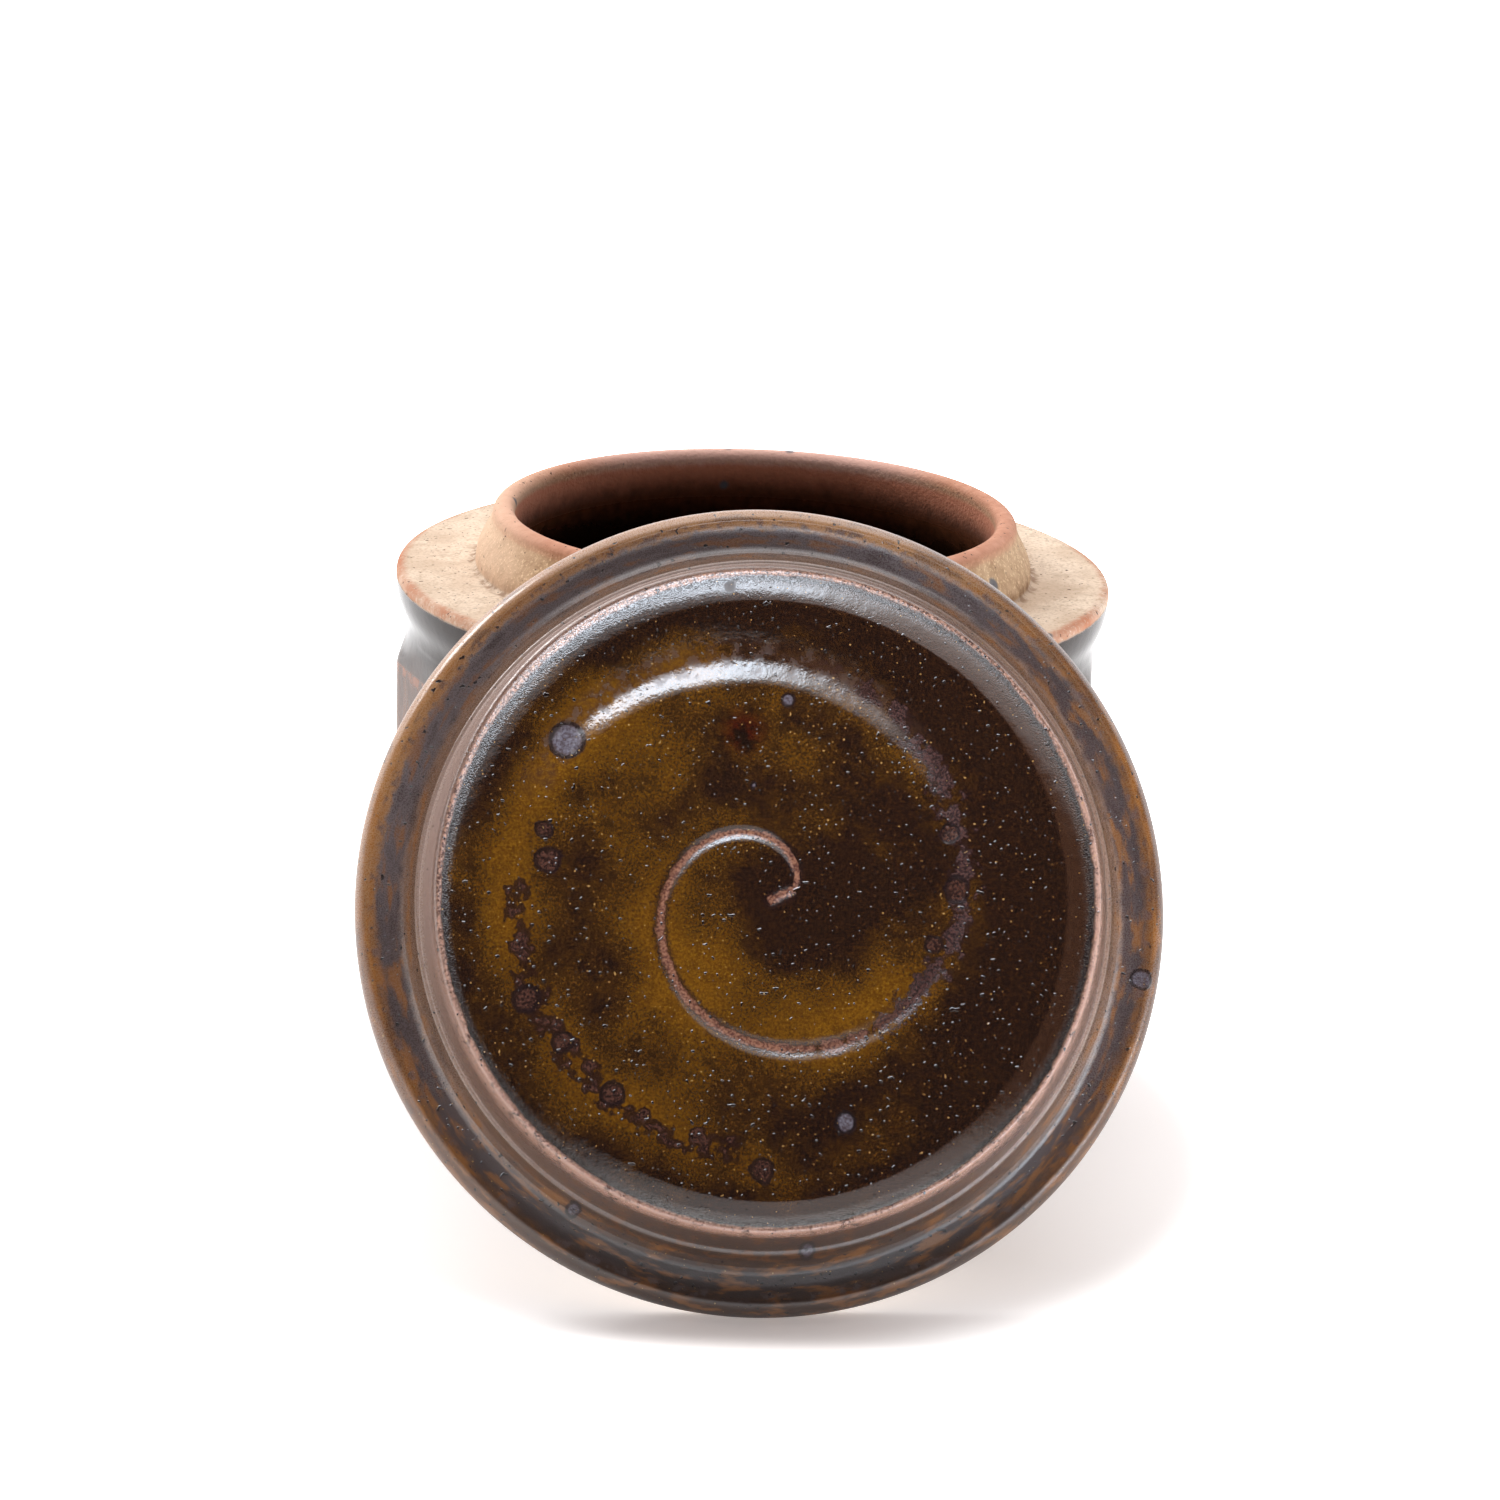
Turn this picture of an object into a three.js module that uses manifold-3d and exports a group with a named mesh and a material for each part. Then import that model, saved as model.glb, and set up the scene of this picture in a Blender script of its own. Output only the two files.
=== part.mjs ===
// A small lidded stoneware crock: a wheel-thrown jar with twelve cut sides, and its cap lid,
// which is off the jar and leans against it. Millimetres, +Z up, the origin at the centre of
// the jar's flat base.
import * as THREE from "three";
import { mergeVertices } from "three/addons/utils/BufferGeometryUtils.js";
import Module from "manifold-3d";

const wasm = await Module();
wasm.setup();

// ---- Driving dimensions ----------------------------------------------------------------------

const SIDES = 12; // cut sides round the jar
const SEGMENTS = 5 * SIDES; // straight pieces in each turned circle
const CURVE_POINTS = 4; // straight pieces in each curve of a profile

const jar = {
  baseRadius: 50, // flat base, at the inside of its bevel
  baseBevel: 1.5,
  wallRadius: 58.7, // round wall before its sides are cut
  wallFoot: 20, // height where the wall stands upright
  sideDistance: 56.7, // from the axis to each cut side
  sidesTop: 70.8, // upper edge of the upright wall
  grooveRadius: 56.4, // turned groove between the wall and the ledge
  grooveHeight: 76.6,
  ledgeRadius: 58.4, // ledge that carries the lid
  ledgeHeight: 86.8,
  ledgeEdge: 1.2, // rounding of the ledge's edge
  neckFootRadius: 45.4, // neck that the lid caps
  neckRadius: 42.7,
  neckHeight: 96.7,
  mouthRadius: 39.2,
  insideRadius: 52,
  insideFloor: 6.5,
  insideRoof: 80.6,
  firstArris: 80.4, // degrees from the front to an edge between two sides
};

const lid = {
  rimRadius: 60,
  rimThickness: 6.8,
  rimRound: 2.2, // depth of the rounded edge of the rim, towards the middle
  grooveRadius: 55.2, // turned groove inside the rim
  grooveDepth: 0.9,
  capFootRadius: 50.6, // crease where the cap's wall leaves the brim
  capFootHeight: 10.2,
  ridgeRadius: 47.5, // sharp ridge round the dished top
  ridgeHeight: 19.4,
  dishHeight: 15.9, // top at its middle
  socketRadius: 46.5, // hollow that goes over the jar's neck
  socketDepth: 10.7,
};

const spiral = {
  startAngle: 22, // degrees; finger spiral in the dished top, from its inner end
  sweep: 479, // degrees, turning anticlockwise outwards
  startRadius: 4,
  endRadius: 37.5,
  width: 2.6,
  height: 0.9,
  steps: 56,
};

const lean = {
  angle: 26.6, // degrees that the lid leans back from upright
  turn: 4.3, // degrees that its face is turned from the front, to the right
  sideways: 3, // of the middle of the lid's underside, right of the jar's axis
  distance: 69.3, // of the same point, in front of the jar's axis
};

// ---- Solids ----------------------------------------------------------------------------------

// A closed geometry as a manifold-3d solid. Faces that a lathe makes flat on its axis are dropped.
function solidOf(geometry) {
  const bare = new THREE.BufferGeometry().setAttribute(
    "position",
    (geometry.index ? geometry.toNonIndexed() : geometry).getAttribute("position"),
  );
  const merged = mergeVertices(bare, 1e-4);
  const corners = merged.index.array;
  const faces = [];
  for (let i = 0; i < corners.length; i += 3) {
    const [a, b, c] = corners.slice(i, i + 3);
    if (a !== b && b !== c && c !== a) faces.push(a, b, c);
  }
  const mesh = new wasm.Mesh({
    numProp: 3,
    vertProperties: merged.attributes.position.array,
    triVerts: new Uint32Array(faces),
  });
  return new wasm.Manifold(mesh);
}

function geometryOf(solid) {
  const mesh = solid.getMesh();
  return new THREE.BufferGeometry()
    .setAttribute("position", new THREE.BufferAttribute(mesh.vertProperties, 3))
    .setIndex(new THREE.BufferAttribute(mesh.triVerts, 1));
}

// A profile, drawn as radius and height from the axis back to the axis, turned about Z.
function turned(profile) {
  const points = profile.getPoints(CURVE_POINTS);
  return new THREE.LatheGeometry(points, SEGMENTS).rotateX(Math.PI / 2);
}

// ---- Jar -------------------------------------------------------------------------------------

function jarProfile() {
  const j = jar;
  const edge = j.ledgeEdge;
  const path = new THREE.Path();
  path.moveTo(0, 0);
  path.lineTo(j.baseRadius, 0);
  path.lineTo(j.baseRadius + j.baseBevel, j.baseBevel);
  path.quadraticCurveTo(j.wallRadius, j.wallFoot * 0.45, j.wallRadius, j.wallFoot);
  path.lineTo(j.wallRadius, j.sidesTop);
  // The groove rises inwards from the wall and rolls out again under the ledge.
  path.bezierCurveTo(
    j.wallRadius - 0.6, j.sidesTop + 1.6,
    j.grooveRadius, j.grooveHeight - 3.2,
    j.grooveRadius, j.grooveHeight,
  );
  path.bezierCurveTo(
    j.grooveRadius, j.grooveHeight + 3.4,
    j.ledgeRadius, j.ledgeHeight - 6.4,
    j.ledgeRadius, j.ledgeHeight - edge,
  );
  path.quadraticCurveTo(j.ledgeRadius, j.ledgeHeight, j.ledgeRadius - edge, j.ledgeHeight);
  path.lineTo(j.neckFootRadius + 0.7, j.ledgeHeight);
  // The neck draws in towards its rounded rim.
  path.lineTo(j.neckFootRadius, j.ledgeHeight + 0.5);
  path.bezierCurveTo(
    j.neckFootRadius, j.ledgeHeight + 4,
    j.neckRadius + 0.4, j.neckHeight - 4,
    j.neckRadius, j.neckHeight - 1.6,
  );
  const lip = (j.neckRadius - j.mouthRadius) / 2;
  path.absellipse(j.mouthRadius + lip, j.neckHeight - 1.6, lip, 1.6, 0, Math.PI, false);
  path.quadraticCurveTo(j.mouthRadius, j.insideRoof, j.mouthRadius + 4, j.insideRoof - 1.4);
  path.quadraticCurveTo(j.insideRadius, j.insideRoof - 4, j.insideRadius, j.insideRoof - 14);
  path.lineTo(j.insideRadius - 1, 26);
  path.quadraticCurveTo(j.insideRadius - 2, j.insideFloor, 32, j.insideFloor);
  path.lineTo(0, j.insideFloor);
  return path;
}

// Each side is cut by a block that stops in the groove, so its top edge is an arch.
function sideCutter(turn) {
  const depth = 10;
  const top = jar.grooveHeight;
  const block = new THREE.BoxGeometry(2 * jar.wallRadius, depth, top);
  block.translate(0, -(jar.sideDistance + depth / 2), top / 2);
  return solidOf(block.rotateZ(turn));
}

function jarSolid() {
  const firstSide = THREE.MathUtils.degToRad(jar.firstArris + 180 / SIDES);
  let solid = solidOf(turned(jarProfile()));
  for (let i = 0; i < SIDES; i++) {
    solid = solid.subtract(sideCutter(-firstSide + (i * 2 * Math.PI) / SIDES));
  }
  return solid;
}

// ---- Lid -------------------------------------------------------------------------------------

// Height of the dished top at a radius, inside the ridge.
function dishTop(radius) {
  const share = radius / lid.ridgeRadius;
  return lid.dishHeight + (lid.ridgeHeight - lid.dishHeight) * share ** 6;
}

function lidProfile() {
  const l = lid;
  const beadRadius = l.rimRadius - l.rimRound;
  const beadHeight = l.rimThickness / 2;
  const path = new THREE.Path();
  path.moveTo(0, l.socketDepth);
  path.lineTo(l.socketRadius - 4, l.socketDepth);
  path.quadraticCurveTo(
    l.socketRadius - 0.6, l.socketDepth,
    l.socketRadius - 0.4, l.socketDepth - 4,
  );
  path.lineTo(l.socketRadius, 0.8);
  path.lineTo(l.socketRadius + 0.8, 0);
  path.lineTo(beadRadius, 0);
  path.absellipse(
    beadRadius, beadHeight, l.rimRound, beadHeight, -Math.PI / 2, Math.PI / 2, false,
  );
  const grooveHeight = l.rimThickness - l.grooveDepth;
  path.quadraticCurveTo(beadRadius - 1, grooveHeight, l.grooveRadius, grooveHeight);
  path.quadraticCurveTo(l.grooveRadius - 1.4, grooveHeight, l.capFootRadius, l.capFootHeight);
  path.lineTo(l.ridgeRadius + 0.5, l.ridgeHeight - 0.6);
  path.quadraticCurveTo(
    l.ridgeRadius + 0.2, l.ridgeHeight,
    l.ridgeRadius - 0.5, l.ridgeHeight - 0.1,
  );
  for (const share of [0.97, 0.93, 0.88, 0.8, 0.66, 0.4]) {
    path.lineTo(share * l.ridgeRadius, dishTop(share * l.ridgeRadius));
  }
  path.lineTo(0, l.dishHeight);
  return path;
}

// The ridge that a fingertip leaves beside its spiral track, winding out from the middle.
class FingerSpiral extends THREE.Curve {
  getPoint(t, target = new THREE.Vector3()) {
    const radius = THREE.MathUtils.lerp(spiral.startRadius, spiral.endRadius, t);
    const turn = THREE.MathUtils.degToRad(spiral.startAngle + spiral.sweep * t);
    return target.set(radius * Math.cos(turn), radius * Math.sin(turn), dishTop(radius));
  }
}

function spiralRidge() {
  const section = new THREE.Shape();
  section.absellipse(0, 0, spiral.height, spiral.width / 2, 0, 2 * Math.PI, false);
  return new THREE.ExtrudeGeometry(section, {
    steps: spiral.steps,
    curveSegments: CURVE_POINTS,
    extrudePath: new FingerSpiral(),
  });
}

function lidSolid() {
  return solidOf(turned(lidProfile())).add(solidOf(spiralRidge()));
}

// ---- The two pieces in their places ----------------------------------------------------------

const ironGlaze = new THREE.MeshStandardMaterial({
  name: "iron_glaze",
  color: 0x4a3018,
  roughness: 0.18,
  metalness: 0,
});

const jarGlaze = ironGlaze.clone();
jarGlaze.name = "jar_glaze";
jarGlaze.color.set(0x5b4436);

const crock = new THREE.Group();

const jarMesh = new THREE.Mesh(geometryOf(jarSolid()), jarGlaze);
jarMesh.name = "jar";
crock.add(jarMesh);

// How far the lid's rounded rim reaches below the middle of its underside, when it leans.
function rimReach(tilt) {
  const inset = (lid.rimRadius - lid.rimRound) * Math.cos(tilt);
  const rise = (lid.rimThickness / 2) * Math.sin(tilt);
  return inset - rise + Math.hypot(lid.rimRound * Math.cos(tilt), rise);
}

// The lid stands on the edge of its rim, in front of the jar, with its top turned to the front.
const tilt = THREE.MathUtils.degToRad(lean.angle);
const lidPlace = new THREE.Group();
lidPlace.position.set(lean.sideways, -lean.distance, rimReach(tilt));
lidPlace.rotation.set(Math.PI / 2 - tilt, 0, THREE.MathUtils.degToRad(lean.turn), "ZYX");
crock.add(lidPlace);

const lidMesh = new THREE.Mesh(geometryOf(lidSolid()), ironGlaze);
lidMesh.name = "lid";
lidPlace.add(lidMesh);

export default crock;
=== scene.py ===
import math
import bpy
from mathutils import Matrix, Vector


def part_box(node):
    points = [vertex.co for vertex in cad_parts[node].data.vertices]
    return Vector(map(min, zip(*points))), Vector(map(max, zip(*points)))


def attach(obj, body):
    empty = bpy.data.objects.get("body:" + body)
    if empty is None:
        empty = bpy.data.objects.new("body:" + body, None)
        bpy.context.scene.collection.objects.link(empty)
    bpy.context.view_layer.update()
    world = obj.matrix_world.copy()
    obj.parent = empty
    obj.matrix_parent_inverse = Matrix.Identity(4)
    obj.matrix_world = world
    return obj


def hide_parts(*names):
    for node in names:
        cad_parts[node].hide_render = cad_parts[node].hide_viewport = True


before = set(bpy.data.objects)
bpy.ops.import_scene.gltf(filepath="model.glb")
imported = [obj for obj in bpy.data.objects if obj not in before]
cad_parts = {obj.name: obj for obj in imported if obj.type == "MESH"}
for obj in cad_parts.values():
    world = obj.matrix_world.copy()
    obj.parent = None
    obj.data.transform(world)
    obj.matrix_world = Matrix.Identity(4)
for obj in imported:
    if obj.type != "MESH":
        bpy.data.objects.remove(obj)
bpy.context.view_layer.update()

from types import SimpleNamespace

import bpy
import numpy as np
from mathutils import Matrix, Vector


# ---- The table, the lights and the camera ----------------------------------------------------
# The pot stands on a pale sheet that glows, and close to the pot, where it hardly glows, the
# soft shadow shows. What shines in the glaze is set apart from what the camera sees: there the
# sheet is dark beside the pot and bright in front of it, which lights the ridges of the lid.


class Shade:
    """A socket in a finish. Sums, differences, products and powers of it add Math nodes."""

    def __init__(self, tree, socket=None):
        self.tree = tree
        self.socket = socket

    def node(self, kind, settings=None, inputs=None, output=None):
        """Adds a node: its settings first, and then the values or links of its sockets."""
        made = self.tree.nodes.new("ShaderNode" + kind)
        for name, value in (settings or {}).items():
            if name == "stops":
                spread_stops(made.color_ramp, value)
            else:
                setattr(made, name, value)
        for name, value in (inputs or {}).items():
            if isinstance(name, int):
                socket = made.inputs[name]
            else:
                socket = next(s for s in made.inputs if s.name == name and s.enabled)
            if isinstance(value, Shade):
                self.tree.links.new(value.socket, socket)
            else:
                socket.default_value = value
        given = (s for s in made.outputs if s.enabled and output in (None, s.name))
        return Shade(self.tree, next(given, None))

    def maths(self, operation, *others):
        """A Math node on this socket and the others, in that order."""
        return self.node("Math", {"operation": operation}, dict(enumerate((self, *others))))

    def __add__(self, other):
        return self.maths("ADD", other)

    def __sub__(self, other):
        return self.maths("SUBTRACT", other)

    def __rsub__(self, other):
        return self.node("Math", {"operation": "SUBTRACT"}, {0: other, 1: self})

    def __mul__(self, other):
        return self.maths("MULTIPLY", other)

    def __truediv__(self, other):
        return self.maths("DIVIDE", other)

    def __pow__(self, other):
        return self.maths("POWER", other)

    __radd__ = __add__
    __rmul__ = __mul__

    def rise(self, low, high):
        """0 at low and 1 at high, with a smooth slope between them."""
        ends = {"Value": self, "From Min": low, "From Max": high}
        return self.node("MapRange", {"interpolation_type": "SMOOTHSTEP"}, ends)

    def tint(self, bare, full):
        """The colour bare where this is 0, and full where it is 1."""
        colours = {"Factor": self, "A": bare, "B": full}
        return self.node("Mix", {"data_type": "RGBA"}, colours)

    def axes(self):
        """The three numbers of a vector."""
        split = self.node("SeparateXYZ", {}, {"Vector": self})
        return [Shade(self.tree, s) for s in split.socket.node.outputs]

    def mottle(self, size, detail=2.0, roughness=0.5):
        """Cloudy noise from 0 to 1 over this position, with patches about size across."""
        sockets = {"Vector": self, "Scale": 1 / size, "Detail": detail, "Roughness": roughness}
        return self.node("TexNoise", {}, sockets)


def spread_stops(ramp, stops):
    """Lays (place, colour) stops along a colour ramp."""
    while len(ramp.elements) < len(stops):
        ramp.elements.new(1.0)
    for element, (place, colour) in zip(ramp.elements, stops):
        element.position = place
        element.color = colour


def paint(red, green, blue):
    """The linear colour of a paint chip given as three numbers up to 255."""
    shares = (value / 255 for value in (red, green, blue))
    return (*(s / 12.92 if s < 0.04 else ((s + 0.055) / 1.055) ** 2.4 for s in shares), 1.0)


def grey(value):
    return (value, value, value, 1)


def new_finish(name):
    """A material with a Principled shader, the shader's node and a Shade to build from."""
    material = bpy.data.materials.new(name)
    material.use_nodes = True
    return material, material.node_tree.nodes["Principled BSDF"], Shade(material.node_tree)


def wire(shader, name, shade):
    """Joins an expression to one of a shader's sockets."""
    shade.tree.links.new(shade.socket, shader.inputs[name])


sheet_radius = 5
glow_start = 0.08
glow_full = 0.12
glow = 7.0
pot_forward = 0.03

bpy.ops.mesh.primitive_circle_add(vertices=96, radius=sheet_radius, fill_type="NGON")
sheet = bpy.context.object
sheet.name = "light_table"
sheet_finish, sheet_shader, start = new_finish("light_table")
across, along, _ = start.node("TexCoord", output="Object").axes()
outward = (across**2 + (along + pot_forward) ** 2) ** 0.5
sheet_shader.inputs["Base Color"].default_value = grey(0.9)
sheet_shader.inputs["Roughness"].default_value = 0.9
sheet_shader.inputs["Emission Strength"].default_value = glow

# What shines in the glaze: bright in front of the pot, brightest to the right of the middle.
in_front = along.rise(-0.165, -0.2)
mirrored = in_front.tint(grey(0.05), (0.84, 0.95, 1.06, 1))
mirrored = along.rise(-0.4, -1.0).tint(mirrored, (0.4, 0.42, 0.44, 1))
slant = across / (along * -1)
brightest = slant.rise(0.0, 0.15) * slant.rise(1.1, 0.7) * in_front * along.rise(-2.0, -1.2)
mirrored = brightest.tint(mirrored, (1.25, 1.4, 1.6, 1))
left_of_front = across.rise(0.07, -0.08) * in_front
mirrored = left_of_front.tint(mirrored, grey(0.1))
mirrored = outward.rise(glow_start, glow_full).tint(grey(0.03), mirrored)

# What the camera sees: a white sheet, with the pot's shadow on it.
seen = along.rise(-0.103, -0.114).tint((0.045, 0.04, 0.038, 1), (0.2, 0.185, 0.18, 1))
seen = outward.rise(0.072, 0.1).tint(seen, grey(0.3))
by_camera = start.node("LightPath", output="Is Camera Ray")
wire(sheet_shader, "Emission Color", by_camera.tint(mirrored, seen))
sheet.data.materials.append(sheet_finish)

# The room: a white backdrop behind the pot, and dark in front of it above a low white wall, so
# that the lid's dish stays dark. The ceiling is pale grey. The camera sees plain white.
room = bpy.data.worlds.new("room")
bpy.context.scene.world = room
room.use_nodes = True
start = Shade(room.node_tree)
_, depth, height = start.node("TexCoord", output="Generated").axes()
walls = height.rise(0.21, 0.18).tint((0.03, 0.03, 0.035, 1), (1.0, 1.0, 1.03, 1))
backdrop = height.rise(0.75, 0.55).tint(grey(0.1), (1.8, 1.8, 1.85, 1))
walls = depth.rise(0.0, 0.35).tint(walls, backdrop)
walls = height.rise(0.835, 0.85).tint(walls, (0.85, 0.8, 0.8, 1))
by_camera = start.node("LightPath", output="Is Camera Ray")
background = room.node_tree.nodes["Background"]
wire(background, "Color", by_camera.tint(walls, grey(1)))


def soft_box(name, place, size, power):
    """A square studio light that faces the pot."""
    lamp = bpy.data.lights.new(name, "AREA")
    lamp.size = size
    lamp.energy = power
    box = bpy.data.objects.new(name, lamp)
    box.location = place
    box.rotation_euler = (Vector((0, 0, 0.05)) - Vector(place)).to_track_quat("-Z", "Y").to_euler()
    bpy.context.collection.objects.link(box)


soft_box("overhead", (0.0, 0.3, 1.0), 1.0, 6)
soft_box("key", (-0.9, 0.5, 0.9), 0.5, 9)

lens = bpy.data.cameras.new("camera")
lens.sensor_width = 36
lens.lens = 85.3
camera = bpy.data.objects.new("camera", lens)
stand = Matrix.Translation((0.0006, -0.5638, 0.2393))
tip = Matrix.Rotation(math.radians(90 - 18.11), 4, "X")
roll = Matrix.Rotation(math.radians(2.12), 4, "Z")
camera.matrix_world = stand @ tip @ roll
bpy.context.collection.objects.link(camera)
bpy.context.scene.camera = camera
bpy.context.scene.view_settings.view_transform = "Standard"


# ---- The jar ---------------------------------------------------------------------------------
# Wheel-thrown stoneware, with twelve sides cut down its wall with a wire. The glaze covers the
# wall and the inside. The ledge, the neck and the foot are bare clay, toasted at their edges.

# Sizes are in millimetres: radii from the jar's axis, and heights from its base.
MM = 0.001
SIDES = 12
COLUMNS = 40 * SIDES
FIRST_ARRIS = math.radians(-90 - 80.4)

jar = SimpleNamespace(
    base=50.0,
    bevel=1.5,
    wall=58.7,
    wall_foot=20.0,
    side=56.7,
    sides_top=70.8,
    groove=56.4,
    groove_height=76.6,
    ledge=58.25,
    ledge_height=86.75,
    ledge_edge=1.2,
    neck_foot=45.4,
    neck_fillet=0.9,
    neck=42.7,
    neck_height=96.65,
    lip=1.6,
    mouth=39.2,
    inside=52.0,
    wall_bottom=26,
    floor=6.5,
    floor_edge=32,
    roof=80.6,
    shoulder=4,
)


def line(start, end, step):
    """Points from start to end, about step apart."""
    count = max(1, round(math.dist(start, end) / step))
    return [tuple(np.array(start) + (np.array(end) - start) * k / count) for k in range(count)]


def bend(start, pull, end, step):
    """Points on a curve from start to end that leaves and arrives in line with pull."""
    return swing(start, pull, pull, end, step, 2 / 3)


def swing(start, first, second, end, step, reach=1.0):
    """Points on a curve from start to end, drawn towards first and then towards second."""
    a, b, c, d = (np.array(p, float) for p in (start, first, second, end))
    b = a + (b - a) * reach
    c = d + (c - d) * reach
    count = max(3, round(math.dist(start, end) * 1.15 / step))
    shares = np.arange(count) / count
    keep = 1 - shares
    weights = (keep**3, 3 * keep**2 * shares, 3 * keep * shares**2, shares**3)
    return [tuple(p) for p in sum(np.outer(w, p) for w, p in zip(weights, (a, b, c, d)))]


def arc(centre, across, up, first, last, step):
    """Points on an ellipse's arc, from the angle first to the angle last, in degrees."""
    angles = np.radians([first, last])
    count = max(4, round(abs(angles[1] - angles[0]) * max(across, up) / step))
    turns = angles[0] + (angles[1] - angles[0]) * np.arange(count) / count
    return [(centre[0] + across * math.cos(t), centre[1] + up * math.sin(t)) for t in turns]


outer_rows = [
    *line((jar.base, 0), (jar.base + jar.bevel, jar.bevel), 0.5),
    *bend(
        (jar.base + jar.bevel, jar.bevel),
        (jar.wall, jar.wall_foot * 0.45),
        (jar.wall, jar.wall_foot),
        0.8,
    ),
    *line((jar.wall, jar.wall_foot), (jar.wall, jar.sides_top), 1.2),
    *swing(
        (jar.wall, jar.sides_top),
        (jar.wall - 0.6, jar.sides_top + 1.6),
        (jar.groove, jar.groove_height - 3.2),
        (jar.groove, jar.groove_height),
        0.3,
    ),
]
upper_rows = [
    *swing(
        (jar.groove, jar.groove_height),
        (jar.groove, jar.groove_height + 3.4),
        (jar.ledge, jar.ledge_height - 6.4),
        (jar.ledge, jar.ledge_height - jar.ledge_edge),
        0.3,
    ),
    *bend(
        (jar.ledge, jar.ledge_height - jar.ledge_edge),
        (jar.ledge, jar.ledge_height),
        (jar.ledge - 1.4, jar.ledge_height),
        0.15,
    ),
    *line(
        (jar.ledge - 1.4, jar.ledge_height),
        (jar.neck_foot + jar.neck_fillet, jar.ledge_height),
        0.4,
    ),
    *bend(
        (jar.neck_foot + jar.neck_fillet, jar.ledge_height),
        (jar.neck_foot, jar.ledge_height),
        (jar.neck_foot, jar.ledge_height + jar.neck_fillet),
        0.2,
    ),
    *swing(
        (jar.neck_foot, jar.ledge_height + jar.neck_fillet),
        (jar.neck_foot, jar.ledge_height + 4),
        (jar.neck + 0.4, jar.neck_height - 4),
        (jar.neck, jar.neck_height - jar.lip),
        0.4,
    ),
    *arc(
        ((jar.neck + jar.mouth) / 2, jar.neck_height - jar.lip),
        (jar.neck - jar.mouth) / 2,
        jar.lip,
        0,
        180,
        0.25,
    ),
    *bend(
        (jar.mouth, jar.neck_height - jar.lip),
        (jar.mouth, jar.roof),
        (jar.mouth + jar.shoulder, jar.roof - 1.4),
        0.7,
    ),
    *bend(
        (jar.mouth + jar.shoulder, jar.roof - 1.4),
        (jar.inside, jar.roof - jar.shoulder),
        (jar.inside, jar.roof - 14),
        1.2,
    ),
    *line((jar.inside, jar.roof - 14), (jar.inside - 1, jar.wall_bottom), 2),
    *bend(
        (jar.inside - 1, jar.wall_bottom),
        (jar.inside - 2, jar.floor),
        (jar.floor_edge, jar.floor),
        1.5,
    ),
    *line((jar.floor_edge, jar.floor), (0.8, jar.floor), 2),
]

angles = FIRST_ARRIS + np.arange(COLUMNS) * 2 * math.pi / COLUMNS


def ring_of_waves(angle, seed, size):
    """A slow, uneven swelling round the pot, which a hand leaves in the clay."""
    made = np.random.default_rng(seed)
    waves = range(2, 7)
    return sum(
        size * made.uniform(0.3, 1) / k * np.cos(k * angle + made.uniform(0, 6.3)) for k in waves
    )


def cut_sides(radii, heights):
    """Pares the round wall down to its cut sides, each a little different, with soft arrises."""
    made = np.random.default_rng(4)
    soft = 0.16
    half_height = 40
    far_off = 90
    cuts = [np.exp(-radii / soft * np.ones_like(angles))]
    for k in range(SIDES):
        middle = FIRST_ARRIS + (k + 0.5) * 2 * math.pi / SIDES
        depth = jar.side - made.uniform(0.0, 0.3)
        lean = made.uniform(-0.004, 0.004)
        facing = np.cos(angles - middle)
        near = facing > 0.8
        distance = depth + lean * (heights - half_height)
        cut = np.where(near, distance / np.where(near, facing, 1), far_off)
        cuts.append(np.exp(-np.minimum(cut, far_off) / soft))
    return -soft * np.log(sum(cuts) + 1e-300)


rows = []
for radius, height in outer_rows:
    rows.append((cut_sides(np.full(COLUMNS, radius), height), np.full(COLUMNS, height)))
for radius, height in upper_rows:
    share = min(1.0, radius / jar.neck_foot)
    rows.append((radius + ring_of_waves(angles, 8, 0.12) * share, np.full(COLUMNS, height)))


def turned_mesh(name, rows, angles, closed_below, closed_above):
    """A closed skin through rings of (radii, heights), with a point on the axis at each end."""
    count = len(angles)
    points = []
    for radii, heights in rows:
        points += zip(radii * np.cos(angles) * MM, radii * np.sin(angles) * MM, heights * MM)
    points += [(0, 0, closed_below * MM), (0, 0, closed_above * MM)]
    faces = []
    for ring in range(len(rows) - 1):
        first = ring * count
        for k in range(count):
            after = (k + 1) % count
            faces.append((first + k, first + after, first + count + after, first + count + k))
    last = (len(rows) - 1) * count
    for k in range(count):
        after = (k + 1) % count
        faces.append((len(points) - 2, after, k))
        faces.append((len(points) - 1, last + k, last + after))
    mesh = bpy.data.meshes.new(name)
    mesh.from_pydata(points, [], faces)
    mesh.shade_smooth()
    piece = bpy.data.objects.new(name, mesh)
    bpy.context.collection.objects.link(piece)
    return piece


jar_piece = turned_mesh("jar_body", rows, angles, 0, jar.floor)

clay, clay_shader, start = new_finish("jar_clay_and_glaze")
metres = start.node("TexCoord", output="Object")
place = metres.node("VectorMath", {"operation": "SCALE"}, {"Vector": metres, "Scale": 1000})
x, y, z = place.axes()
radius = (x**2 + y**2) ** 0.5
cloud = place.mottle(9, 3)
patch = place.mottle(2.2, 3)
grit = place.mottle(0.55, 3, 0.6)
speck = place.mottle(0.8, 1)
wobble = (patch - 0.5) * 1.2

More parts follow.
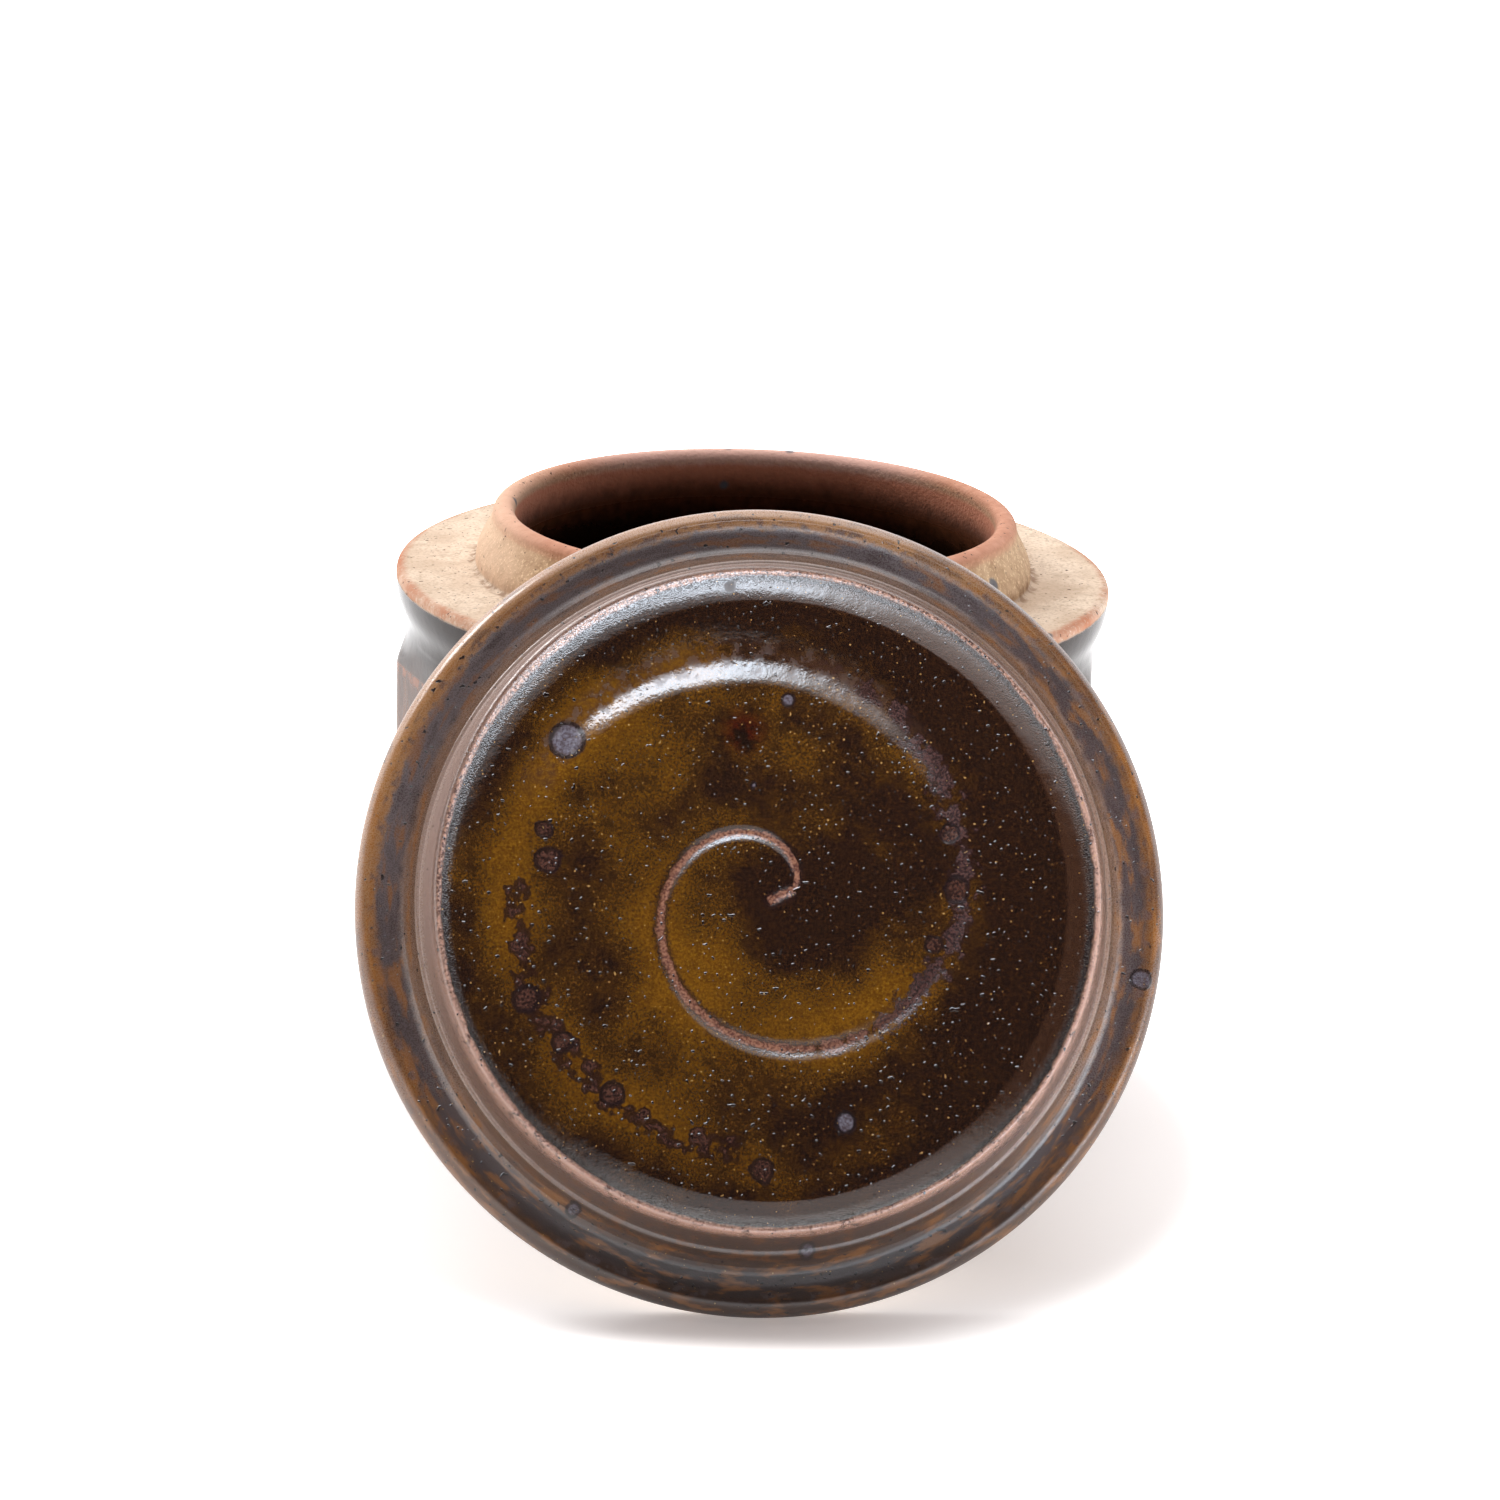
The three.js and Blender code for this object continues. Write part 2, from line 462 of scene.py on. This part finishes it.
# Bare clay: buff, gritty, redder at the edge of the ledge and pinker round the lip.
buff = cloud.rise(0.35, 0.65).tint(paint(226, 206, 184), paint(206, 182, 158))
buff = (patch.rise(0.5, 0.75) * 0.5).tint(buff, paint(184, 160, 136))
buff = grit.rise(0.45, 0.75).tint(buff, paint(190, 164, 138))
neck_tan = patch.rise(0.3, 0.7).tint(paint(190, 156, 122), paint(164, 130, 96))
neck_tan = grit.rise(0.5, 0.7).tint(neck_tan, paint(220, 190, 152))
on_neck = (z + wobble * 0.2).rise(87.0, 87.6)
bare = on_neck.tint(buff, neck_tan)
# Painted shade, in patches, in the crease at the neck's foot.
painted_crease_shade = (z + wobble).rise(89.4, 87.6) * radius.rise(47.2, 46.0) * patch.rise(0.4, 0.65)
bare = (painted_crease_shade * 0.7).tint(bare, paint(136, 98, 70))
toast = (radius + wobble * 0.7).rise(56.2, 57.9) * (z + wobble * 0.3).rise(84.6, 85.4)
toast = toast * (cloud * 1.5 - 0.15).rise(0.0, 1.0)
bare = (toast * grit.rise(0.2, 0.5)).tint(bare, grit.tint(paint(150, 78, 46), paint(206, 134, 96)))
lip = (z + wobble * 0.7).rise(93.8, 96.0)
bare = lip.tint(bare, grit.tint(paint(150, 98, 72), paint(196, 142, 112)))
# Painted highlight along the top of the lip.
painted_highlight_lip_top = (z + wobble * 0.3).rise(95.6, 96.5)
bare = painted_highlight_lip_top.tint(bare, patch.tint(paint(176, 114, 84), paint(214, 162, 136)))
# Painted light: the neck is paler on its left side.
painted_light_neck_left = x.rise(-30, -44) * on_neck
bare = (painted_light_neck_left * 0.5).tint(bare, paint(240, 206, 178))
bare = speck.rise(0.70, 0.76).tint(bare, paint(96, 72, 58))

# Glaze: brown and grey streaks down the sides, breaking to orange on the arrises and along the
# sides' top edge, and near black in the groove above them, with painted shade low in the groove.
stretch = metres.node(
    "VectorMath", {"operation": "MULTIPLY"}, {0: metres, 1: (1000, 1000, 160)}
)
streak = stretch.mottle(2.6, 3, 0.6)
wall_glaze = streak.rise(0.3, 0.7).tint(paint(62, 40, 28), paint(108, 70, 46))
wall_glaze = (cloud.rise(0.55, 0.8) * 0.5).tint(wall_glaze, paint(92, 80, 72))
side_number = (y.maths("ARCTAN2", x) - FIRST_ARRIS) * (SIDES / (2 * math.pi))
arris = ((side_number + 0.5).maths("FRACT") - 0.5).maths("ABSOLUTE").rise(0.045, 0.01)
arris = arris * z.rise(76, 71)
wall_glaze = (arris * patch.rise(0.3, 0.6)).tint(wall_glaze, paint(140, 92, 60))
collar = z.rise(71, 76)
wall_glaze = collar.tint(wall_glaze, patch.tint(paint(30, 23, 20), paint(54, 42, 36)))
top_line = z.rise(69.2, 70.2) * z.rise(71.6, 70.8) * patch.rise(0.4, 0.6)
wall_glaze = (top_line * 0.8).tint(wall_glaze, paint(150, 88, 52))
# Painted shade: a dark band low in the groove, over the top of the sides.
painted_shade_arch = z.rise(70.9, 71.8) * z.rise(75.5, 73.0)
wall_glaze = (painted_shade_arch * 0.7).tint(wall_glaze, paint(40, 28, 22))

# Inside, the glaze is darker further down and pink-brown towards the lip.
inside_glaze = (z + wobble * 4).rise(84, 92).tint(paint(36, 22, 13), paint(112, 66, 44))
inside_glaze = (z + wobble * 1.5).rise(89.5, 94).tint(inside_glaze, paint(194, 126, 98))

# Where each of them lies: glaze outside and within, and bare clay at the foot, ledge and neck.
inner = radius.rise(43.5, 42.0) + z.rise(82, 81)
within = inner.rise(0.4, 0.6) * (z + wobble * 0.5).rise(95.2, 94.0) * radius.rise(53.4, 52.8)
outside = radius.rise(53.0, 53.6) * (z + wobble * 0.35).rise(85.4, 84.8)
off_foot = (z + wobble * 0.3).rise(2.2, 3.0)
glazed = outside * off_foot
body = glazed.tint(bare, wall_glaze)
body = within.tint(body, inside_glaze)
# Painted highlight: the lip is paler and pinker at the back.
painted_highlight_far_lip = y.rise(22, 37) * (z + wobble).rise(93.5, 95.5)
body = (painted_highlight_far_lip * 0.65).tint(body, paint(238, 196, 184))

# Spots of iron that melted through, as (x, y, z, radius).
iron_spots = [
    (-5.2, 40.7, 96.0, 0.9),
    (5.7, 40.6, 96.2, 1.0),
    (-5.7, 39.2, 90.6, 0.9),
    (-39.5, 2.0, 95.5, 0.8),
    (38.1, -23.0, 91.3, 1.2),
    (46.2, -34.2, 86.8, 0.8),
    (33.0, -33.0, 88.0, 0.7),
]
for spot_x, spot_y, spot_z, size in iron_spots:
    off = ((x - spot_x) ** 2 + (y - spot_y) ** 2 + (z - spot_z) ** 2) ** 0.5 + wobble * 0.4
    body = (off.rise(size + 0.3, size - 0.4) * 0.85).tint(body, paint(84, 90, 98))
slick = (glazed + within * z.rise(93, 86)).rise(0.0, 1.0)

wire(clay_shader, "Base Color", body)
wire(clay_shader, "Roughness", 0.86 - slick * (0.78 - grit * 0.1))
clay_shader.inputs["IOR"].default_value = 1.5
clay_shader.inputs["Specular IOR Level"].default_value = 0.3
relief = (1 - slick) * (grit * 0.55 + patch * 0.5) + slick * (patch * 0.12 + cloud * 0.3)
bumps = relief.node(
    "Bump", {}, {"Strength": 0.55, "Distance": 0.0005, "Height": relief}, "Normal"
)
wire(clay_shader, "Normal", bumps)
jar_piece.data.materials.append(clay)
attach(jar_piece, "jar")
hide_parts("jar")


# ---- The lid ---------------------------------------------------------------------------------
# A thrown cap lid, which leans on the edge of its rim against the jar's ledge. A fingertip drew
# the spiral in its dished top. Iron glaze covers it, thick in the hollows and thin on the ridges.

LID_COLUMNS = 384

# Radii are from the lid's own axis, and heights from the flat underside of its rim.
lid = SimpleNamespace(
    rim=59.85,
    thickness=6.8,
    round=2.2,
    groove=55.2,
    groove_depth=0.9,
    foot=50.6,
    foot_height=10.2,
    ridge=47.5,
    ridge_height=19.35,
    dish=15.9,
    socket=46.5,
    socket_mouth=0.8,
    socket_narrows=0.4,
    socket_corner=4,
    depth=10.7,
)

# The lid leans back from upright, and is turned a little towards the right.
lean = math.radians(26.6)
turn = math.radians(4.3)

bead = lid.rim - lid.round
half = lid.thickness / 2
groove_height = lid.thickness - lid.groove_depth
turn_angles = np.arange(LID_COLUMNS) * 2 * math.pi / LID_COLUMNS


def dish_top(radii):
    """The dish's height: nearly flat up to its slope, which climbs steeply to the ridge."""
    flat_part = 1.2
    steepness = 0.3
    curl = 0.045
    slope_start = 43.3 + ring_of_waves(turn_angles, 31, 0.35)
    gentle = flat_part * np.minimum(radii / slope_start, 1) ** 3
    beyond = np.maximum(radii - slope_start, 0)
    width = lid.ridge - slope_start
    full = flat_part + steepness * width + curl * width**2
    share = (gentle + steepness * beyond + curl * beyond**2) / full
    return lid.dish + (lid.ridge_height - lid.dish) * share


# The finger's line: how far it has turned from its start, in degrees, and its radius there. A
# short straight stroke in the middle leads into it.
spiral_start = 22
spiral_swept = [0, 300, 383, 430, 479, 600]
spiral_radii = [4, 25, 31.4, 35.2, 37.4, 38.5]
hook_from = (3.7, 1.5)
hook_to = (0.4, -0.2)


def finger_line(radii, turns):
    """How far points lie from the finger's line, and how far along it, in degrees."""
    across, up = radii * np.cos(turns) - hook_from[0], radii * np.sin(turns) - hook_from[1]
    run = (hook_to[0] - hook_from[0], hook_to[1] - hook_from[1])
    share = np.clip((across * run[0] + up * run[1]) / math.hypot(*run) ** 2, 0, 1)
    away = np.hypot(across - share * run[0], up - share * run[1])
    nearest = np.zeros(radii.shape)
    swept = (np.degrees(turns) - spiral_start) % 360
    for lap in (-360, 0, 360):
        along = swept + lap
        track = np.interp(along, spiral_swept, spiral_radii)
        before = np.clip(-along, 0, None) * np.radians(1) * track
        gap = np.hypot(radii - track, before)
        closer = gap < away
        away = np.where(closer, gap, away)
        nearest = np.where(closer, along, nearest)
    return away, nearest


# How thin the glaze lies in the dish: it turns golden where it is thin, and black in pools.
# Each place is (x, y, size, how much thinner).
thin_places = [
    (-19, 21, 10, 0.4),
    (-10, -11, 7, 0.6),
    (9, -16, 7, 0.65),
    (-20, -2, 8, 0.25),
    (-25, -16, 8, 0.1),
    (-16, -28, 8, 0.4),
    (-44, 6, 8, 0.15),
    (-30, 26, 8, 0.2),
    (3, 24, 9, 0.2),
    (20, -12, 6, 0.4),
    (20, 14, 7, 0.3),
    (7, -1, 9, -0.7),
    (17.7, 12.6, 2.5, -0.9),
    (-4, 15, 8, -0.3),
    (-28, -6, 5, -0.3),
    (5, -34, 9, -0.3),
    (-38, 0, 7, 0.3),
    (-30, -28, 6, 0.25),
    (2, -39, 7, 0.35),
    (36, 8, 14, -0.7),
    (32, -18, 10, -0.6),
    (24, 32, 12, -0.6),
    (0, 41, 10, -0.6),
    (-24, 36, 7, -0.3),
]


def thin_glaze(radii, turns):
    """How thin the glaze lies at points of the lid."""
    across, along = radii * np.cos(turns), radii * np.sin(turns)
    thin = 0.29 - 0.2 * np.clip((radii - 40.5) / 2, 0, 1)
    for thin_x, thin_y, size, amount in thin_places:
        apart = (across - thin_x) ** 2 + (along - thin_y) ** 2
        thin += amount * np.exp(-apart / size**2)
    away, nearest = finger_line(radii, turns)
    beside = np.exp(-((away / 4.5) ** 2)) * np.interp(nearest, [0, 60, 479, 560], [0, 1, 1, 0])
    chain_side = np.clip((5 - across) / 15, 0, 1)
    return thin + 0.35 * beside + 0.3 * chain_side * np.exp(-(((radii - 36.5) / 3) ** 2))


rows = []


def lay(points):
    """Adds a ring to the lid's skin for each (radius, height)."""
    for radius, height in points:
        rows.append((np.full(LID_COLUMNS, float(radius)), np.full(LID_COLUMNS, float(height))))


def throwing_lines(points, first, last):
    """The fine ridges that the fingers leave between two radii, as the clay turns."""
    apart = 0.9
    ridge = 0.04
    for radius, height in points:
        inside = first < radius < last
        yield radius, height + inside * ridge * math.cos(2 * math.pi * radius / apart)


# The hollow underside, from the middle out, and the flat of the rim.
roof_edge = (lid.socket - lid.socket_corner, lid.depth)
corner_foot = (lid.socket - lid.socket_narrows, lid.depth - lid.socket_corner)
lay(line((0.7, lid.depth), roof_edge, 2.2))
lay(bend(roof_edge, (lid.socket - 0.6, lid.depth), corner_foot, 0.5))
lay(line(corner_foot, (lid.socket, lid.socket_mouth), 1))
lay(bend((lid.socket, lid.socket_mouth), (lid.socket, 0), (lid.socket + lid.socket_mouth, 0), 0.3))
lay(line((lid.socket + lid.socket_mouth, 0), (bead, 0), 1))

# The rolled rim, the throwing groove and the fillet up to the cap's foot.
groove_end = (lid.groove - 1.4, groove_height + 0.1)
cap_foot = (lid.foot + 0.4, lid.foot_height - 0.2)
lay(arc((bead, half), lid.round, half, -90, 90, 0.35))
lay(bend((bead, 2 * half), (bead - 1, groove_height), (lid.groove, groove_height), 0.15))
lay(line((lid.groove, groove_height), groove_end, 0.3))
fillet = bend(groove_end, (lid.groove - 3.2, groove_height + 0.5), cap_foot, 0.12)
lay(throwing_lines(fillet, lid.foot + 0.6, lid.groove - 2.4))

# The cap's wall, the ridge's crest, and the dish with the finger's line.
wall_foot = (lid.foot - 0.3, lid.foot_height + 0.25)
lay(bend(cap_foot, (lid.foot + 0.3, lid.foot_height + 0.2), wall_foot, 0.1))
wall_top = (lid.ridge + 0.5, lid.ridge_height - 0.7)
lay(line(wall_foot, wall_top, 0.45))
crest_end = (lid.ridge - 0.6, lid.ridge_height - 0.2)
lay(bend(wall_top, (lid.ridge + 0.25, lid.ridge_height + 0.2), crest_end, 0.12))
slope_foot = 40
slope_steps = np.arange(crest_end[0] - 0.15, slope_foot, -0.16)
steps = [*slope_steps, *np.arange(slope_foot, 0.6, -0.36)]
line_swept = [-1, 0, 30, 230, 300, 350, 400, 440, 470, 486]
line_heights = [0.1, 0.2, 0.4, 0.42, 0.4, 0.25, 0.9, 1.3, 1.0, 0]
line_widths = [0.7, 0.7, 0.65, 1.2, 1.4, 1.8, 2.3, 2.7, 2.1, 1.5]
for radius in steps:
    radii = np.full(LID_COLUMNS, float(radius))
    away, nearest = finger_line(radii, turn_angles)
    width = np.interp(nearest, line_swept, line_widths)
    outer_flank = radii > np.interp(nearest, spiral_swept, spiral_radii)
    width = width * (1 + outer_flank * np.interp(nearest, [340, 420], [0, 1.1]))
    crest = np.interp(nearest, line_swept, line_heights) * np.exp(-((away / width) ** 2))
    rows.append((radii, dish_top(radii) + crest))

# The ridge isn't quite round or level, and bulges outwards at the upper left.
bulge = 0.9
bulge_turn = math.radians(130)
crests = [ring_of_waves(turn_angles, seed, 0.14) for seed in (21, 22)]
crests[0] = crests[0] + bulge * np.exp(-(((turn_angles - bulge_turn) / 0.6) ** 2))
for ring, (radii, heights) in enumerate(rows):
    lift = np.clip((heights - lid.foot_height) / 8, 0, 1) * np.clip((radii - 36) / 10, 0, 1)
    rows[ring] = (radii + crests[0] * lift, heights + (crests[1] - 0.15) * lift)

lid_piece = turned_mesh("lid_cap", rows, turn_angles, lid.depth, lid.dish)

# The glaze follows the lid's own axes, so each point keeps its place from before the lid leans.
points = np.array([v.co for v in lid_piece.data.vertices]) / MM
radii, turns = np.hypot(points[:, 0], points[:, 1]), np.arctan2(points[:, 1], points[:, 0])
away, nearest = finger_line(radii, turns)
kept = {"line_away": away, "line_along": nearest, "thin_glaze": thin_glaze(radii, turns)}
for name, values in kept.items():
    layer = lid_piece.data.attributes.new(name, "FLOAT", "POINT")
    layer.data.foreach_set("value", values.astype(np.float32))
layer = lid_piece.data.attributes.new("on_lid", "FLOAT_VECTOR", "POINT")
layer.data.foreach_set("vector", points.astype(np.float32).ravel())

# The lid's place is worked out from the box of its CAD node.
out = Vector((math.sin(turn) * math.cos(lean), -math.cos(turn) * math.cos(lean), math.sin(lean)))
side = Vector((math.cos(turn), math.sin(turn), 0))
up = out.cross(side)
low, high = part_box("lid")


def rim_reach(axis):
    """How far the rim reaches along an axis from the middle of its thickness, in metres."""
    flat = math.sqrt(1 - out[axis] ** 2)
    return (bead * flat + math.hypot(lid.round * flat, half * out[axis])) * MM


middle = Vector(((low[0] + high[0]) / 2, high[1] - rim_reach(1), (low[2] + high[2]) / 2))
leaning = Matrix((side, up, out)).transposed().to_4x4()
lid_piece.data.transform(Matrix.Translation(middle - out * half * MM) @ leaning)

glaze, glaze_shader, start = new_finish("iron_glaze")
place = start.node("Attribute", {"attribute_name": "on_lid"}, output="Vector")
x, y, z = place.axes()
radius = (x**2 + y**2) ** 0.5
away, along, thin = (
    start.node("Attribute", {"attribute_name": name}, output="Fac") for name in kept
)
cloud = place.mottle(9, 3)
patch = place.mottle(2.2, 3, 0.6)
grain = place.mottle(0.42, 3, 0.65)
fine = place.mottle(0.2, 1)
pits = place.mottle(0.7, 0).rise(0.76, 0.82)
sparks = place.mottle(0.42, 0).rise(0.81, 0.87)

# The pooled glaze is near black, and where it thins it turns golden.
amber = grain.rise(0.3, 0.75).tint(paint(84, 49, 7), paint(120, 78, 14))
amber = (patch.rise(0.42, 0.7) * 0.6).tint(amber, paint(66, 36, 6))
streaks = place.mottle(0.8, 4, 0.7).rise(0.56, 0.68)
amber = (streaks * 0.3).tint(amber, paint(44, 23, 6))
amber = (fine.rise(0.62, 0.72) * 0.4).tint(amber, paint(160, 118, 30))
dark = grain.rise(0.42, 0.75).tint(paint(28, 14, 7), paint(56, 31, 13))
golden = thin + (cloud - 0.5) * 1.3 + (patch - 0.5) * 0.7 + (grain - 0.5) * 0.3
top = golden.rise(0.0, 1.15).tint(dark, amber)
red_pool = ((x + 3.7) ** 2 + (y - 24.4) ** 2) ** 0.5 + (patch - 0.5) * 6
deep_red = patch.rise(0.4, 0.6).tint(paint(18, 7, 4), paint(58, 12, 4))
top = (red_pool.rise(5.0, 1.0) * 0.8).tint(top, deep_red)

# The finger's line: thin and pink-brown inside, and broken into purple-brown clots further out.
outer_part = along.rise(250, 310)
on_line = along.rise(-2, 0) * along.rise(430, 390)
core_width = 0.35 + outer_part * 0.25
broken = (patch - 0.5) * (1.0 + outer_part * 11) + (grain - 0.5) * 0.8
line_core = (away + broken - core_width).rise(0.4, -0.1) * on_line
line_edge = (away + broken - core_width).rise(1.3, 0.1) * on_line
pink = grain.rise(0.38, 0.62).tint(paint(140, 94, 72), paint(84, 50, 40))
purple = grain.rise(0.35, 0.65).tint(paint(72, 47, 42), paint(34, 20, 18))
top = (line_edge * 0.8).tint(top, paint(36, 20, 18))
top = line_core.tint(top, outer_part.tint(pink, purple))
ridge_top = along.rise(360, 420) * along.rise(500, 480) * away.rise(4, 1.5)
last_part = along.rise(370, 420) * along.rise(500, 480) * away.rise(3.2, 1.6)
top = (last_part * patch.rise(0.35, 0.6) * 0.5).tint(top, paint(60, 40, 34))

# Past its end the line goes on as a broken chain of clots, dark at their edges.
chain_off = (radius - 36.5).maths("ABSOLUTE").rise(5.0, 1.0) * along.rise(500, 520)
chain_off = chain_off * along.rise(640, 620) * x.rise(2, -6)
clot = place.mottle(2.8, 2, 0.65) * chain_off
top = (clot.rise(0.42, 0.50) * 0.85).tint(top, paint(34, 17, 13))
clot_brown = grain.rise(0.35, 0.62).tint(paint(78, 50, 40), paint(36, 20, 16))
top = clot.rise(0.52, 0.58).tint(top, clot_brown)

reach = radius + (patch - 0.5) * (0.4 + radius.rise(51.5, 53) * 2.2)

# Outside the dish the glaze changes in rings, as (radius, colour): pink-brown where it is thin on
# the ridge and the cap's wall, slate in the groove, and rust on the rim.
widest = 60
bands = [
    (46.8, paint(30, 18, 12)),
    (47.2, paint(104, 74, 60)),
    (47.8, paint(130, 98, 82)),
    (48.3, paint(112, 80, 66)),
    (50.1, paint(104, 78, 64)),
    (50.35, paint(146, 116, 100)),
    (50.7, paint(134, 104, 86)),
    (51.0, paint(98, 70, 52)),
    (52.6, paint(132, 102, 84)),
    (53.6, paint(78, 63, 60)),
    (56.2, paint(68, 57, 56)),
    (57.1, paint(118, 80, 50)),
    (59.0, paint(112, 70, 36)),
    (59.8, paint(118, 74, 40)),
]
stops = [(end / widest, colour) for end, colour in bands]
outer = reach.node("ValToRGB", {"stops": stops}, {"Fac": reach / widest}, "Color")
outer = (grain.rise(0.45, 0.7) * 0.45).tint(outer, paint(66, 44, 24))

# The ridge's crest is gritty, with a thin brown line, and a painted highlight to the right and
# below.
crest_grain = (radius - 47.2).maths("ABSOLUTE").rise(2.0, 0.5) * fine.rise(0.45, 0.7)
outer = (crest_grain * 0.7).tint(outer, paint(70, 44, 36))
crest_line = (radius + (patch - 0.5) * 0.8 - 47.4).maths("ABSOLUTE").rise(0.45, 0.15)
crest_brown = grain.rise(0.4, 0.6).tint(paint(62, 36, 28), paint(176, 130, 108))
outer = (crest_line * 0.8).tint(outer, crest_brown)

# The cap's wall, the groove and the rim are painted paler at the upper left, a painted sheen. The
# rim's edge is darker at the right. Below, all of it has dark brown painted shade, worn to rust in
# patches.
# Painted sheen at the upper left: slate in the groove and tan on the rim.
painted_sheen_upper_left = (y - x * 0.5).rise(10, 55) * radius.rise(52, 53.5)
groove_share = reach.rise(56.8, 56.2)
sheen = groove_share.tint(paint(176, 128, 84), paint(118, 106, 106))
outer = (painted_sheen_upper_left * 0.75).tint(outer, sheen)
edge = (x + y * 0.3).rise(15, 55) * radius.rise(57.8, 59)
outer = (edge * 0.6).tint(outer, paint(72, 40, 18))
# A painted highlight, in patches, on the crest to the right and below.
painted_highlight_crest = (radius - 47.9).maths("ABSOLUTE").rise(1.1, 0.3) * patch.rise(0.35, 0.5)
outer = (painted_highlight_crest * (y - x * 0.4).rise(25, -10) * 0.75).tint(outer, paint(172, 130, 110))
# A painted highlight on the cap's wall towards the left.
painted_highlight_wall_left = (y - x).rise(10, 75) * radius.rise(48.2, 48.6) * radius.rise(51, 50.5)
outer = (painted_highlight_wall_left * 0.5).tint(outer, paint(198, 174, 164))
# Painted shade, dark brown, on the bottom edge of the lid, outside the dish.
lower_painted_shade = y.rise(-25, -55) * radius.rise(48.2, 48.7)
outer = (lower_painted_shade * 0.8).tint(outer, paint(40, 23, 13))
worn = lower_painted_shade * patch.rise(0.5, 0.62) * radius.rise(53.4, 52.6)
outer = (worn * 0.6).tint(outer, paint(110, 66, 30))

# Beyond the cap's wall the glaze is streaked round the lid, rust and slate by turns.
drawn = start.node("CombineXYZ", {}, {"X": radius, "Y": x / radius * 12, "Z": y / radius * 12})
ring_streak = drawn.mottle(1.5, 3, 0.6)
beyond_wall = radius.rise(51.2, 52.0)
outer = (ring_streak.rise(0.5, 0.64) * beyond_wall * 0.55).tint(outer, paint(146, 92, 40))
outer = (ring_streak.rise(0.46, 0.34) * beyond_wall * 0.5).tint(outer, paint(62, 46, 42))
rim_marks = (radius - 57.0).maths("ABSOLUTE").rise(1.0, 0.2) * patch.rise(0.52, 0.6)
outer = (rim_marks * 0.7).tint(outer, paint(84, 70, 70))

# The dish's slope has a painted brown sheen at the right, and the dish ends in a dark line under
# the crest.
slope = (reach + (grain - 0.5) * 1.2).rise(43.0, 43.6)
painted_sheen_brown = grain.rise(0.35, 0.65).tint(paint(86, 56, 38), paint(56, 34, 22))
top = (slope * x.rise(-20, 30) * 0.45).tint(top, painted_sheen_brown)
inner_edge = radius + (patch - 0.5) * 1.6 + (grain - 0.5) * 0.8
top = inner_edge.rise(46.1, 46.5).tint(top, paint(28, 16, 12))
skin = inner_edge.rise(46.6, 47.0).tint(top, outer)

# Beads of iron, in the ring that the finger left and here and there on the rim, as (x, y,
# radius, whether it is blue-grey and not brown).
beads = [
    (-29.3, 22.6, 2.7, True),
    (-32.5, 9.6, 1.1, False),
    (-31.8, 5.2, 1.9, False),
    (-34.7, -14.8, 2.0, False),
    (-29.5, -20.9, 1.5, False),
    (-22.2, -28.2, 1.8, False),
    (-0.9, -38.9, 1.8, False),
    (27.4, 1.5, 1.9, False),
    (26.2, 9.8, 1.3, False),
    (24.0, -6.5, 1.3, False),
    (11.1, -32.1, 1.5, True),
    (2.7, 29.1, 0.8, True),
    (55.9, -10.4, 1.5, True),
    (6.1, -50.2, 1.1, True),
    (-27.5, -44.4, 1.0, True),
    (-2.2, 16.5, 0.5, True),
]
spots = 0
blue = 0
for spot_x, spot_y, size, is_blue in beads:
    ragged = 0.9 if is_blue else 1.6
    off = ((x - spot_x) ** 2 + (y - spot_y) ** 2) ** 0.5 + (patch - 0.5) * ragged
    mask = off.rise(size + 0.4, size * 0.65 - 0.1)
    spots = mask.maths("MAXIMUM", spots)
    if is_blue:
        blue = mask.maths("MAXIMUM", blue)
facing_out = z.rise(3, 4)
spots = spots * facing_out
ring = spots.rise(0.02, 0.3) * spots.rise(0.98, 0.6)
blue_grey = grain.rise(0.35, 0.65).tint(paint(104, 98, 106), paint(70, 58, 60))
skin = spots.tint(skin, blue.tint(clot_brown, blue_grey))
skin = (ring * 0.85).tint(skin, paint(26, 16, 16))
skin = (pits * facing_out).tint(skin, paint(24, 12, 8))
skin = (sparks * facing_out * 0.8).tint(skin, paint(176, 138, 84))

# The rim's underside and the hollow's wall, which touched the jar in the kiln, are bare.
touching = (z - 0.9 + (patch - 0.5) * 0.6).rise(0.4, -0.2)
hollow_wall = radius.rise(47.2, 46.8) * z.rise(9.5, 8.5) * radius.rise(44, 45)
bare = (touching + hollow_wall).rise(0.3, 0.7)
skin = bare.tint(skin, patch.tint(paint(214, 190, 160), paint(196, 164, 132)))

wire(glaze_shader, "Base Color", skin)

# Gloss: like glass in the dish, and duller outside it, on the finger's line and on bare clay.
outside_dish = radius.rise(47.6, 50) * 0.2
dent_off = ((x + 5.9) ** 2 + (y - 45.3) ** 2) ** 0.5
dent = (dent_off + (patch - 0.5) * 0.8).rise(1.2, 0.5)
broken_gloss = ridge_top * patch.rise(0.45, 0.62) * 0.3 + dent * 0.5
rough = 0.05 + fine * 0.05 + line_core * 0.15 + outside_dish + lower_painted_shade * 0.2 + bare * 0.6
rough = rough + broken_gloss
wire(glaze_shader, "Roughness", rough)
glaze_shader.inputs["IOR"].default_value = 1.8
relief = patch * 0.3 + fine * 0.05 + cloud * 0.6 + spots * 0.5 - pits * 0.5
relief = relief + grain * (0.16 + line_edge * 0.25 + crest_grain * 0.6) + ridge_top * patch * 0.9
bumps = relief.node("Bump", {}, {"Strength": 0.4, "Distance": 0.0004, "Height": relief}, "Normal")
wire(glaze_shader, "Normal", bumps)
lid_piece.data.materials.append(glaze)
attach(lid_piece, "lid")
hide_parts("lid")
